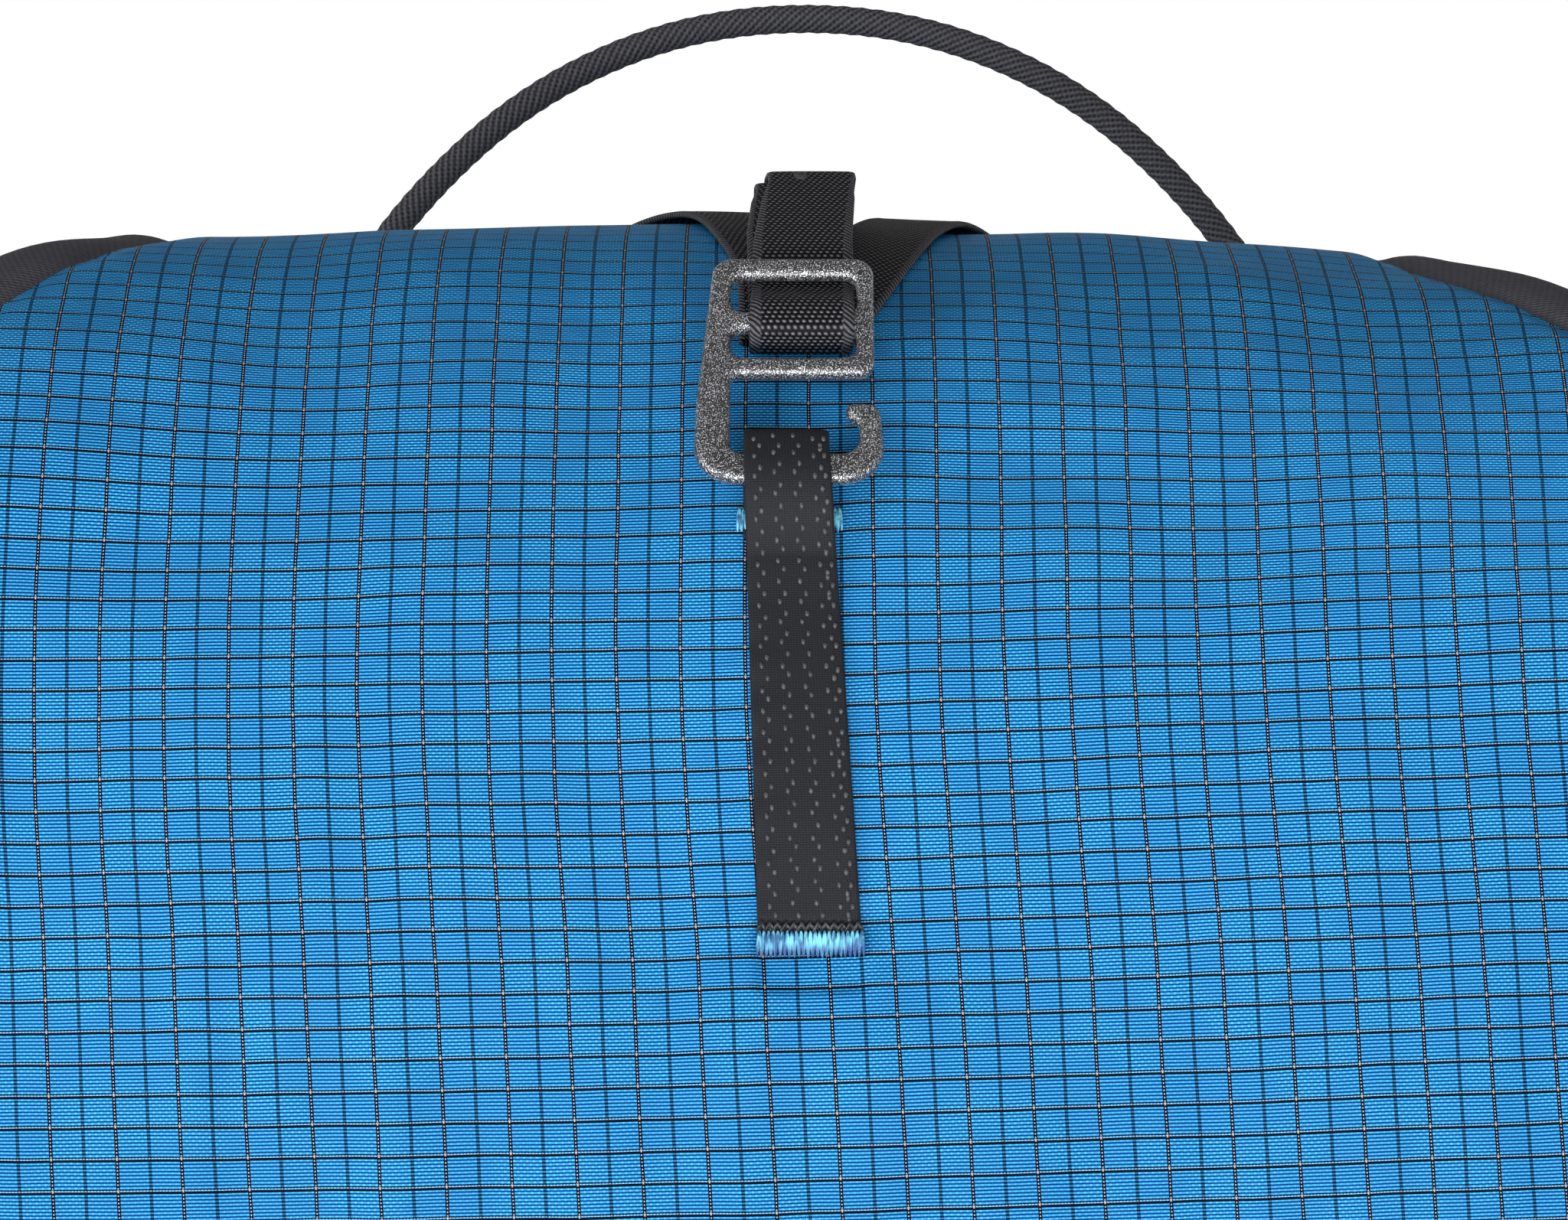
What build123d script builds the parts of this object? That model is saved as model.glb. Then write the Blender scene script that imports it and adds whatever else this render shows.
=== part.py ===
"""Stuff sack: a domed ripstop sack with a rope haul loop and a hook-down top flap.

X points right, Y back and Z up, in millimetres. The sack stands on its bottom panel, with the
origin at the middle of that panel. The cloth is a thin wall in the shape that the sack takes
when it is full. Pieces near the top are placed from the crest, the sack's highest line.
"""
from build123d import *
import os
from math import acos, asin, cos, degrees, radians, sin, sqrt, tan

os.makedirs("parts", exist_ok=True)

# ---- driving dimensions -------------------------------------------------------------------
crest_height = 450.0        # from the ground to the crest
crest_back = 12.0           # how far the crest lies behind the origin
sack_width = 292.0          # across the side gussets, at their widest
cloth = 1.5                 # wall of every panel
foot_setback = 11.0         # how far each wall draws in from its widest place to the bottom
bottom_seam_height = 6.0    # seam of the bottom panel above the ground
clear = 0.3                 # between pieces that move past each other

# side view: arcs from the crest down the front and down the back, as (radius, turn in degrees)
front_bends = ((73.0, 56.0), (150.0, 17.0), (280.0, 17.0))
back_bends = ((52.0, 50.0), (80.0, 28.0), (150.0, 12.0))

# front view: the gussets' outline, and the seam between the gussets and the panels
outline_radius = 52.0       # upper corner of the gussets
outline_rise = 1.0          # how far the outline passes over the crest
seam_inset = 4.0            # seam inside the outline, down the sides
seam_radius = 75.0          # upper corner of the seam
seam_crest_inset = 48.5     # seam inside the outline, where it passes over the crest
edge_round = 12.0           # roundness of the sack along its seams
bottom_round = 14.0         # roundness around the bottom panel

# the mouth, its flap and the inner bindings
mouth_back = 7.0            # the front panel ends this far behind the crest
mouth_gap = 1.0             # between the flap and the edges of the mouth
hinge_turn = 12.0           # the flap's hinge, in degrees of bend past the first back arc
bead_radius = 0.9           # rolled seam that the flap turns on
placket_width = 18.0        # the strip under the flap's front edge
binding_width = 8.0
binding = 1.0               # thickness of plackets, bindings and patches

# elastic straps
strap_width = 13.8
elastic = 1.2               # one layer
strap_x = -2.2              # straps and hook sit this far off the middle
leg_reach = 39.0            # sideways reach of each leg at its sewn end
leg_front = 33.0            # the legs meet this far in front of the crest
leg_end = 40.0              # they are sewn to the flap this far behind the crest
strap_tail = 5.0            # the doubled strap starts this far behind the crest
strap_fold_front = 21.0     # its top fold, in front of the crest
strap_fold_rise = 4.6       # and above it
strap_tack_size = 2.2

# gripper tape and bar tacks
tape = 1.0                  # one layer
tape_width_top = 12.2
tape_width_end = 14.6
tape_x_top = -3.3           # middle of the tape where it folds over the hook
tape_x_end = 0.1            # and at its lower tack
tape_upper_drop = 44.3      # upper tack below the crest
tape_join_drop = 51.0       # the loop runs into the flat strip here
tape_lower_drop = 105.0     # lower tack below the crest
tape_fold_slack = 2.8       # free height over the hook's bar, inside the fold
tack_width = 14.8
tack_height = 3.7
tack = 0.9                  # how thick a bar tack stands

# cast hook in its own plane: across is X, and up runs from its bottom bar to its top bar
hook_lean = 35.0            # degrees from upright, top to the back
hook_foot_front = 71.6      # its bottom edge, in front of the crest
hook_foot_drop = 40.6       # and below it
hook_length = 40.0
hook_plate = 2.6
hook_round = 1.2            # roundness of its edges
slot_round = 2.0            # corners of its slots
frame_half = 11.6           # half width of the rectangular frame
frame_low = 18.8            # underside of the frame
slot_half = 9.1
slot_upper = (30.2, 36.7)   # bottom and top of the upper slot
slot_lower = (21.9, 27.0)
hook_bar = 4.8              # bottom bar
hook_left = -14.4           # outer side of the spine, at the bottom
hook_right = 13.2           # outer side of the point
hook_tip = 13.6             # top of the point
hook_tip_in = 7.5           # inner side of the point's bulb
hook_throat = 10.0          # the throat below the bulb
strap_bend_over = 3.5       # the strap bends this far over the hook's top bar

# haul loop: a rope of rolled webbing, standing behind the flap on two sewn tabs
rope_radius = 2.4
loop_lean = 15.0            # degrees back from upright
loop_turn = 17.0            # its feet, in degrees of bend past the first back arc
loop_half_route = ((86, 0), (80.5, 22), (66, 46.9), (44, 68.1), (16, 79.8))  # across, up
tab_length = 18.0
tab_width = 9.0
tab = 1.2

# ---- the sack's form ----------------------------------------------------------------------
reach = 2 * max(sack_width, crest_height)


def bend_run(bends, way, inset):
    """Arcs from the crest down one side of the side view; way is -1 forward, 1 backward."""
    edges, at, heading = [], Vector(crest_back, crest_height - inset), Vector(way, 0)
    for radius, turn in bends:
        arc = JernArc(start=at, tangent=heading, radius=radius - inset, arc_size=-way * turn)
        edges.append(arc)
        at, heading = arc @ 1, arc % 1
    return edges + [wall_arc(at, heading, -way, inset)]


def wall_arc(start, heading, turn_way, inset):
    """The long slack curve from a wall's widest place down to the bottom."""
    radius = (start.Y**2 + foot_setback**2) / (2 * foot_setback) - inset
    size = degrees(asin((start.Y - inset) / radius))
    return JernArc(start=start, tangent=heading, radius=radius, arc_size=turn_way * size)


def side_block(inset):
    """The side view of the sack, shrunk by inset, drawn out sideways."""
    front, back = bend_run(front_bends, -1, inset), bend_run(back_bends, 1, inset)
    base = Line(front[-1] @ 1, back[-1] @ 1)
    return extrude(Plane.YZ * make_face(front + back + [base]), amount=reach, both=True)


def outline_block(half, radius, top, inset):
    """A front view with two round upper corners, shrunk by inset, drawn out front to back."""
    corner = JernArc(start=(half - radius, top - inset), tangent=(1, 0),
                     radius=radius - inset, arc_size=-90)
    right = [corner, wall_arc(corner @ 1, Vector(0, -1), -1, inset)]
    left = [mirror(edge, about=Plane.YZ) for edge in right]
    flat, base = Line(left[0] @ 0, right[0] @ 0), Line(left[1] @ 1, right[1] @ 1)
    return extrude(Plane.XZ * make_face([flat, *right, *left, base]), amount=reach, both=True)


def gusset_block(inset):
    return outline_block(sack_width / 2, outline_radius, crest_height + outline_rise, inset)


def seam_block(inset=0.0):
    """Everything inside the seam line, seen from the front."""
    half = sack_width / 2 - seam_inset
    over = sack_width / 2 - seam_crest_inset - (half - seam_radius)
    top = crest_height + seam_radius - sqrt(seam_radius**2 - over**2)
    return outline_block(half, seam_radius, top, inset)


def stuffed(inset):
    """The filled sack, shrunk by inset all round."""
    body = side_block(inset) & gusset_block(inset)
    seams = [e for e in body.edges() if e.geom_type != GeomType.LINE]
    body = fillet(seams, edge_round - inset)
    under = [e for e in body.edges() if e.center().Z < inset + 0.01]
    return fillet(under, bottom_round - inset)


def box(x, y, z):
    """A box from three (low, high) pairs."""
    sizes = [high - low for low, high in (x, y, z)]
    return Pos(x[0], y[0], z[0]) * Box(*sizes, align=(Align.MIN,) * 3)


def across(points, width, middle):
    """A closed outline of (Y, Z) points, drawn out to a width about a middle X."""
    outline = Polyline(*points, close=True)
    return Pos(middle, 0, 0) * extrude(Plane.YZ * make_face(outline), amount=width / 2, both=True)


def front_point(drop, outset=0.0):
    """(Y, Z) of the front surface this far below the crest, moved out by outset."""
    y, fallen, start = crest_back, 0.0, 0.0
    for radius, turn in front_bends:
        whole = radius * (cos(radians(start)) - cos(radians(start + turn)))
        if drop <= fallen + whole:
            break
        y -= radius * (sin(radians(start + turn)) - sin(radians(start)))
        fallen, start = fallen + whole, start + turn
    angle = acos(cos(radians(start)) - (drop - fallen) / radius)
    y -= radius * (sin(angle) - sin(radians(start)))
    return y - outset * sin(angle), crest_height - drop + outset * cos(angle)


def back_point(turn, outset=0.0):
    """(Y, Z) on the second back arc, this many degrees along it, moved out by outset."""
    at = bend_run(back_bends, 1, -outset)[1] @ (turn / back_bends[1][1])
    return at.X, at.Y


def back_slope(turn):
    """Unit vectors along the back at that place: down it, and out of it."""
    angle = radians(back_bends[0][1] + turn)
    return Vector(0, cos(angle), -sin(angle)), Vector(0, sin(angle), cos(angle))


everywhere = (-reach, reach)
mouth_y = crest_back + mouth_back
hinge_y, hinge_z = back_point(hinge_turn, -cloth / 2)
down_back, out_back = back_slope(hinge_turn)
hinge_cut = 4 * cloth       # the cut at the hinge reaches this far each side of the wall


def hinge_side(way):
    """The hinge line's cut, as a (Y, Z) place inside or outside the wall."""
    return hinge_y + way * hinge_cut * out_back.Y, hinge_z + way * hinge_cut * out_back.Z


outer, lining = stuffed(0), stuffed(cloth)
wall = outer - lining
inner_face = lining - stuffed(cloth + binding)
inside_seams = seam_block()
above_bottom = box(everywhere, everywhere, (bottom_seam_height, reach))
high = crest_height + 2 * hinge_cut
lid_zone = across([(mouth_y, high), (mouth_y, hinge_z), hinge_side(-1), hinge_side(1),
                   (hinge_side(1)[0], high)], 2 * reach, 0)
bead_core = Plane.YZ * Pos(hinge_y, hinge_z)
nodes = {}

# ---- panels -------------------------------------------------------------------------------
panels = wall & inside_seams & above_bottom
behind_mouth = box(everywhere, (mouth_y, reach), everywhere)
bead_room = extrude(bead_core * Circle(bead_radius + clear), amount=reach, both=True)
nodes["front_panel"] = panels - behind_mouth
nodes["back_panel"] = (panels & behind_mouth) - lid_zone - bead_room
nodes["left_gusset"] = ((wall - inside_seams) & above_bottom
                        & box((-reach, 0), everywhere, everywhere))
nodes["right_gusset"] = mirror(nodes["left_gusset"], about=Plane.YZ)
nodes["bottom_panel"] = wall - above_bottom

# ---- the flap, which stands proud of the panels by the clearance ---------------------------
bead_half = (sack_width / 2 - seam_inset) - 2 * edge_round
bead = extrude(bead_core * Circle(bead_radius), amount=bead_half, both=True)
lid_room = box(everywhere, (mouth_y + mouth_gap, reach), everywhere) & lid_zone
flap = (stuffed(-clear) - stuffed(cloth - clear)) & seam_block(mouth_gap) & lid_room
nodes["top_flap"] = flap - bead
nodes["flap_bead"] = bead

# ---- inner bindings, hems and patches -------------------------------------------------------
clear_of_bindings = seam_block(binding_width / 2)
seam_strip = (seam_block(-binding_width / 2) - clear_of_bindings
              - side_block(cloth + binding_width)) & above_bottom
left_strip = inner_face & seam_strip & box((-reach, 0), everywhere, everywhere)
for place, binding_piece in (("front", left_strip - behind_mouth),
                             ("back", left_strip & behind_mouth)):
    nodes[f"left_{place}_binding"] = binding_piece
    nodes[f"right_{place}_binding"] = mirror(binding_piece, about=Plane.YZ)
placket_from = mouth_y - placket_width / 2
nodes["mouth_placket"] = inner_face & clear_of_bindings & box(
    everywhere, (placket_from, placket_from + placket_width), (hinge_z, reach))
hem_low = hinge_z - placket_width
nodes["back_hem"] = (inner_face & clear_of_bindings & box(
    everywhere, (mouth_y + placket_width, reach), (hem_low, hinge_z))) - lid_zone - bead_room

# ---- elastic legs and doubled strap, on the flap ---------------------------------------------
leg_low, leg_top = clear, clear + elastic


def surface_layer(low, top):
    """A layer over the panels between two heights off their surface."""
    return side_block(-top) - side_block(-low)


leg_run = Vector(leg_reach, leg_front + leg_end)
leg_turn = degrees(asin(leg_reach / leg_run.length))
over_top = (hinge_z - placket_width, reach)


def along_leg(side, start, length, width):
    """An upright block along a leg, from a distance along it."""
    block = Box(width, length, reach, align=(Align.CENTER, Align.MIN, Align.CENTER))
    return Pos(strap_x, crest_back - leg_front, crest_height) * Rot(0, 0, -side * leg_turn) * (
        Pos(0, start, 0) * block)


leg_layer = surface_layer(leg_low, leg_top) & box(everywhere, everywhere, over_top)
tack_layer = surface_layer(leg_top, leg_top + tack) & box(everywhere, everywhere, over_top)
half_spaces = {-1: (-reach, strap_x), 1: (strap_x, reach)}
leg_tacks = []
for name, side in (("left", -1), ("right", 1)):
    half_space = box(half_spaces[side], everywhere, everywhere)
    leg = leg_layer & along_leg(side, 0, leg_run.length, strap_width) & half_space
    nodes[f"v_strap_{name}"] = leg
    leg_tacks.append(tack_layer & along_leg(
        side, leg_run.length - 2 * tack_height, tack_height, strap_width - 2 * tack))
nodes["leg_tacks"] = Compound(children=[s for t in leg_tacks for s in t.solids()])

# the hook's own plane: u along X, v up the hook, n out of its front
lean = radians(hook_lean)
up_hook = Vector(0, sin(lean), cos(lean))
off_hook = Vector(0, -cos(lean), sin(lean))
hook_foot = Vector(0, crest_back - hook_foot_front, crest_height - hook_foot_drop)
hook_front = Plane(origin=hook_foot + Vector(strap_x, 0, 0), x_dir=(1, 0, 0), z_dir=off_hook)
hook_side = Plane(origin=hook_foot, x_dir=up_hook, z_dir=(1, 0, 0))


def by_hook(v, n):
    """(Y, Z) of a place given in the hook's plane: up it, and out of its front."""
    at = hook_foot + up_hook * v + off_hook * n
    return at.Y, at.Z


half_plate = hook_plate / 2
layer_a = -(half_plate + clear + elastic / 2)       # the front layer, behind the top bar
layer_b = layer_a - elastic - clear / 4             # the back layer
bend_v, bend_n = hook_length + strap_bend_over, (layer_a + layer_b) / 2
pivot_y, pivot_z = by_hook(bend_v, bend_n)
knuckle = elastic + clear / 8

fold = (crest_back - strap_fold_front, crest_height + strap_fold_rise)
seat = crest_height + leg_top + elastic
strap_line = FilletPolyline(
    (crest_back + strap_tail, seat), (crest_back - strap_fold_front / 3, seat), fold,
    (pivot_y, pivot_z), radius=2 * elastic)
doubled = extrude(Plane.YZ * trace(strap_line, line_width=2 * knuckle),
                  amount=strap_width / 2, both=True)
bend_room = extrude(Plane.YZ * Pos(pivot_y, pivot_z) * Circle(knuckle + clear),
                    amount=strap_width, both=True)
nodes["hook_strap"] = Pos(strap_x, 0, 0) * (doubled - bend_room) - side_block(-leg_top)
falling = (Vector(0, pivot_y, pivot_z) - Vector(0, *fold)).normalized()
tack_at = Vector(strap_x + strap_tack_size / 2, *fold) + falling * (4 * elastic)
on_strap = Plane(origin=tack_at, x_dir=(1, 0, 0), z_dir=Vector(1, 0, 0).cross(falling) * -1)
nodes["strap_tack"] = on_strap * (Pos(0, 0, knuckle) * Box(
    strap_tack_size, strap_tack_size, tack / 2,
    align=(Align.CENTER, Align.CENTER, Align.MIN)))

# ---- the cast hook and the strap threaded through it ------------------------------------------
hook_outline = FilletPolyline(
    (-frame_half, hook_length), (frame_half, hook_length), (frame_half, frame_low),
    (-slot_half, frame_low), (-slot_half, hook_bar), (slot_half, hook_bar),
    (slot_half + 0.3, hook_throat), (hook_tip_in, hook_throat + 1.6), (hook_tip_in, hook_tip),
    (hook_right - 0.8, hook_tip), (hook_right, 0),
    (hook_left, 0), (hook_left + 0.4, frame_low - hook_bar),
    radius=[3, 3, 2.2, 1.5, 2, 2.6, 1.4, 0.9, 0.9, 2.3, 6, 6, 20], close=True)
plate = extrude(hook_front * make_face(hook_outline), amount=half_plate, both=True)
for low, top in (slot_upper, slot_lower):
    slot = RectangleRounded(2 * slot_half, top - low, slot_round)
    plate -= extrude(hook_front * Pos(0, (low + top) / 2) * slot, amount=hook_plate, both=True)
rims = [e for e in plate.edges() if abs(abs(hook_front.to_local_coords(e.center()).Z)
                                        - half_plate) < 0.01]
nodes["g_hook"] = fillet(rims, hook_round)

wrap_front = half_plate + clear + elastic / 2
wrap_low = slot_lower[1] - clear - elastic / 2
wrap_line = FilletPolyline(
    (bend_v, layer_a), (slot_upper[1], layer_a), (slot_upper[0] + 1, wrap_front),
    (wrap_low, wrap_front), (wrap_low, layer_b), (bend_v, layer_b), radius=elastic * 0.75)
wrap = extrude(hook_side * trace(wrap_line, line_width=elastic), amount=strap_width / 2, both=True)
knuckle_bar = extrude(hook_side * Pos(bend_v, bend_n) * Circle(knuckle),
                      amount=strap_width / 2, both=True)
nodes["strap_wrap"] = Pos(strap_x, 0, 0) * (wrap + knuckle_bar)

# ---- gripper tape: a loop for the hook, and a flat strip down the front -----------------------
half_tape = tape / 2
fold_top = hook_bar + tape_fold_slack + half_tape
behind_bar = -(half_plate + clear + tape)
loop_line = FilletPolyline(
    front_point(tape_upper_drop + tack_height, half_tape),
    front_point(tape_upper_drop, half_tape),
    by_hook(hook_round, behind_bar), by_hook(fold_top, behind_bar),
    by_hook(fold_top, -behind_bar), by_hook(-hook_round, -behind_bar),
    front_point(tape_join_drop, half_tape), radius=tape)
tape_fold = extrude(Plane.YZ * trace(loop_line, line_width=tape),
                    amount=tape_width_top / 2, both=True)
strip_front = surface_layer(0, tape)


def tape_x(drop):
    """Middle of the tape this far below the crest, from its fold to its lower tack."""
    fold_drop = hook_foot_drop - fold_top * cos(lean)
    share = (drop - fold_drop) / (tape_lower_drop - fold_drop)
    return tape_x_top + share * (tape_x_end - tape_x_top)


def front_patch(top_drop, low_drop, top_width, low_width):
    """An upright block with the outline of a strip that follows the tape's line."""
    corners = []
    for drop, width, ways in ((top_drop, top_width, (-1, 1)), (low_drop, low_width, (1, -1))):
        corners += [(tape_x(drop) + way * width / 2, crest_height - drop) for way in ways]
    face = Plane.XZ * make_face(Polyline(*corners, close=True))
    return extrude(face, amount=reach) & box(everywhere, (-reach, crest_back), everywhere)


strip_end = tape_lower_drop + tack_height / 2
strip = strip_front & front_patch(tape_join_drop, strip_end, tape_width_top, tape_width_end)
nodes["gripper_tape"] = strip
nodes["tape_loop"] = Pos(tape_x_top, 0, 0) * tape_fold - side_block(0) - strip
for name, drop in (("upper", tape_upper_drop + tack_height / 2), ("lower", tape_lower_drop)):
    patch = front_patch(drop - tack_height / 2, drop + tack_height / 2, tack_width, tack_width)
    nodes[f"{name}_tape_tack"] = (surface_layer(tape, tape + tack) & patch) - nodes["tape_loop"]
backing_end = tape_lower_drop + tack_height
backing = front_patch(tape_upper_drop - tack_height, backing_end, 2 * tack_width, 2 * tack_width)
nodes["tape_backing"] = inner_face & backing

# ---- haul loop, with a ball at each foot on its swing axis -------------------------------------
foot_y, foot_z = back_point(loop_turn, tab + clear + rope_radius)
loop_rise = radians(loop_lean)
loop_plane = Plane(origin=(0, foot_y, foot_z), x_dir=(1, 0, 0),
                   z_dir=(0, -cos(loop_rise), sin(loop_rise)))
half_route = [Vector(*p) for p in loop_half_route]
route = [Vector(-p.X, p.Y) for p in half_route] + half_route[::-1]
corner_radii = []
for before, at, after in zip(route, route[1:], route[2:]):
    turn = radians((at - before).get_angle(after - at))
    run = min((at - before).length, (after - at).length)
    corner_radii.append(0.45 * run / tan(turn / 2))
path = FilletPolyline(*route, radius=corner_radii)
print("haul loop corner radii", [round(r, 1) for r in corner_radii])
print("haul loop length", round(path.length, 1))
section = Plane(origin=path @ 0, z_dir=path % 0) * Circle(rope_radius)
rope = sweep(section, path=path)
for end in (route[0], route[-1]):
    rope += Pos(end.X, end.Y, 0) * Sphere(rope_radius)
nodes["haul_loop"] = loop_plane * rope

foot_x = loop_half_route[0][0]
down_tab, out_tab = back_slope(loop_turn)
tab_pieces, tab_tacks = [], []
for side in (-1, 1):
    at = Vector(side * foot_x, *back_point(loop_turn))
    frame = Plane(origin=at, x_dir=(1, 0, 0), z_dir=out_tab)

    def tab_block(start, length, width, low, top):
        """A block lying on the back, from a distance down it, between two heights."""
        block = Box(width, length, 8 * tab, align=(Align.CENTER, Align.MIN, Align.CENTER))
        return (frame * (Pos(0, start, 0) * block)) & surface_layer(low, top)

    tab_pieces.append(tab_block(-rope_radius, tab_length, tab_width, 0, tab))
    tab_tacks.append(tab_block(3 * rope_radius, tack_height, tab_width - 2 * tack,
                               tab, tab + tack))
nodes["loop_tabs"] = Compound(children=[s for t in tab_pieces for s in t.solids()])
nodes["loop_tacks"] = Compound(children=[s for t in tab_tacks for s in t.solids()])

print("flap hinge at", round(hinge_y, 3), round(hinge_z, 3))
print("hook bend at", round(pivot_y, 3), round(pivot_z, 3))
print("loop hinge at", round(foot_y, 3), round(foot_z, 3))
for name, shape in nodes.items():
    export_step(shape, f"parts/{name}.step")
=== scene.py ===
"""Stuff sack: a filled ripstop sack with stretch gussets, a hook-down flap and a rope haul loop.

Helpers take millimetres, as the design does, and the meshes are written in metres. X points right,
Y back and Z up. A point array has its rows along a piece and its columns across it.
"""
import math

import bmesh
import bpy
import numpy as np
from mathutils import Matrix, Vector, noise


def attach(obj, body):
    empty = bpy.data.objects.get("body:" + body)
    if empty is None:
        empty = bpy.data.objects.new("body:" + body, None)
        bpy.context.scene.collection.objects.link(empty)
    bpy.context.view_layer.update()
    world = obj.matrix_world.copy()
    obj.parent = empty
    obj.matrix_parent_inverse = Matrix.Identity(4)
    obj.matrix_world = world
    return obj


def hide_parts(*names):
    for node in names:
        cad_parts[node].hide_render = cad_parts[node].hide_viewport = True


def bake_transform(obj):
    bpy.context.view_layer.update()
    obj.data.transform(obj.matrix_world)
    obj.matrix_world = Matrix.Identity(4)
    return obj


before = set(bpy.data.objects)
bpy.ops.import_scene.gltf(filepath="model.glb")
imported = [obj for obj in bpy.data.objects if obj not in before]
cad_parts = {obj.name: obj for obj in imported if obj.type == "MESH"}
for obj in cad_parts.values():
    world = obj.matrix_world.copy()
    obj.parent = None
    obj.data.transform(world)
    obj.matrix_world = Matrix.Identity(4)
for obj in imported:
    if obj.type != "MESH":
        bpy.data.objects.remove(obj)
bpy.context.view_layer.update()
MM = 0.001

# ---- sizes of the sack, as in its design (mm, degrees) ----
CREST_Y, CREST_Z = 12.0, 450.0
HALF_WIDTH = 146.0
FOOT_SETBACK = 11.0
FRONT_BENDS = ((73.0, 56.0), (150.0, 17.0), (280.0, 17.0))
BACK_BENDS = ((52.0, 50.0), (80.0, 28.0), (150.0, 12.0))
OUTLINE_RADIUS, OUTLINE_RISE = 52.0, 1.0
SEAM_INSET, SEAM_RADIUS, SEAM_CREST_INSET = 4.0, 75.0, 48.5
EDGE_ROUND, BOTTOM_ROUND = 12.0, 14.0
BOTTOM_SEAM = 6.0
MOUTH_Y = CREST_Y + 7.0
HINGE_TURN, LOOP_TURN = 12.0, 17.0
CLOTH = 1.1                 # thickness of a panel
FLAP_PROUD = 0.3
UNDER_CLOTH = -CLOTH - 0.3   # hems, on the inside of a panel
BINDING_DEPTH = -CLOTH - 0.6
NEAR_CREST = 24.0            # depth under the crest in which rows lie closer
HINGE = (60.524, 417.208)    # Y and Z of the flap's hinge
ROLL_HALF, ROLL_RADIUS = 118.0, 0.9
GUSSET_FLAT, BOTTOM_FLAT = (230.0, 500.0), (292.0, 170.0)
STRAP_X, STRAP_WIDTH, ELASTIC = -2.2, 13.8, 1.2
TAPE = 1.0
HOOK_LEAN = math.radians(35.0)
HOOK_FOOT = (CREST_Y - 71.6, CREST_Z - 40.6)
HOOK_PLATE_HALF, HOOK_GAP, HOOK_RIM, HOOK_TIP = 1.3, 0.3, 4.8, 2.8
LOOP_LEAN = math.radians(15.0)
LOOP_FOOT = (67.781, 412.784)
LOOP_HALF_SPAN = 86.0
SIDES = ((-1, "left"), (1, "right"))
UPWARDS = np.array([0, 0, 1.0])


# ---- small helpers ----
def stacked(*parts):
    """Arrays and numbers spread to one shape and joined along a new last axis."""
    return np.stack(np.broadcast_arrays(*parts), -1)


def headings(path):
    """The unit direction of a path at each of its points."""
    way = np.gradient(path, axis=0)
    return way / np.linalg.norm(way, axis=1)[:, None]


def baked(bm, name):
    """A mesh made from a finished bmesh."""
    mesh = bpy.data.meshes.new(name)
    bm.to_mesh(mesh)
    bm.free()
    return mesh


def added(name, data):
    """A new object in the scene."""
    made = bpy.data.objects.new(name, data)
    bpy.context.scene.collection.objects.link(made)
    return made


def carry(piece, body, *nodes):
    """Hangs a piece on a body, in place of the design's nodes that it stands for."""
    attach(piece, body)
    if nodes:
        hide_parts(*nodes)


# ---- the sack's rounded form ----
def arc_row(start, bends):
    """Tangent arcs that start level at a (reach, height) point, and the long slack curve below
    them, as rows of centre, radius and the two ends of the turn."""
    (reach, height), turned, rows = start, 0.0, []
    for radius, turn in bends:
        end = turned + math.radians(turn)
        centre = (reach - radius * math.sin(turned), height - radius * math.cos(turned))
        rows.append((*centre, radius, turned, end))
        reach, height = centre[0] + radius * math.sin(end), centre[1] + radius * math.cos(end)
        turned = end
    slack = (height ** 2 + FOOT_SETBACK ** 2) / (2 * FOOT_SETBACK)
    rows.append((reach - slack, height, slack, turned, math.pi))
    return rows


FRONT_ARCS = arc_row((0.0, CREST_Z), FRONT_BENDS)
BACK_ARCS = arc_row((0.0, CREST_Z), BACK_BENDS)
OUTLINE_TOP = CREST_Z + OUTLINE_RISE
OUTLINE_FLAT = HALF_WIDTH - OUTLINE_RADIUS
OUTLINE_ARCS = arc_row((0.0, OUTLINE_TOP), ((OUTLINE_RADIUS, 90.0),))
SEAM_HALF = HALF_WIDTH - SEAM_INSET
SEAM_OVER = HALF_WIDTH - SEAM_CREST_INSET - (SEAM_HALF - SEAM_RADIUS)
SEAM_TOP = CREST_Z + SEAM_RADIUS - math.sqrt(SEAM_RADIUS ** 2 - SEAM_OVER ** 2)
SEAM_ARCS = arc_row((0.0, SEAM_TOP), ((SEAM_RADIUS, 90.0),))


def along_arcs(arcs, run):
    """(reach, height, slope) at each distance along a row of arcs; slope 0 faces up."""
    run = np.asarray(run, float)
    reach, height, slope = np.zeros(run.shape), np.zeros(run.shape), np.zeros(run.shape)
    begin = 0.0
    for centre_out, centre_up, radius, first, last in arcs:
        here = run >= begin - 1e-9
        angle = first + (run[here] - begin) / radius
        reach[here] = centre_out + radius * np.sin(angle)
        height[here] = centre_up + radius * np.cos(angle)
        slope[here] = angle
        begin += radius * (last - first)
    return reach, height, slope


def seam_half_width(height):
    """Half width between the two seams, seen from the front, at each height."""
    corner_out, corner_up, radius = SEAM_ARCS[0][:3]
    slack_out, slack_up, slack = SEAM_ARCS[1][:3]
    up = np.clip(height - corner_up, 0, radius)
    down = np.minimum(height - slack_up, 0)
    reach = np.where(height >= slack_up, corner_out + np.sqrt(radius ** 2 - up ** 2),
                     slack_out + np.sqrt(slack ** 2 - down ** 2))
    return reach + SEAM_HALF - SEAM_RADIUS


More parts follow.
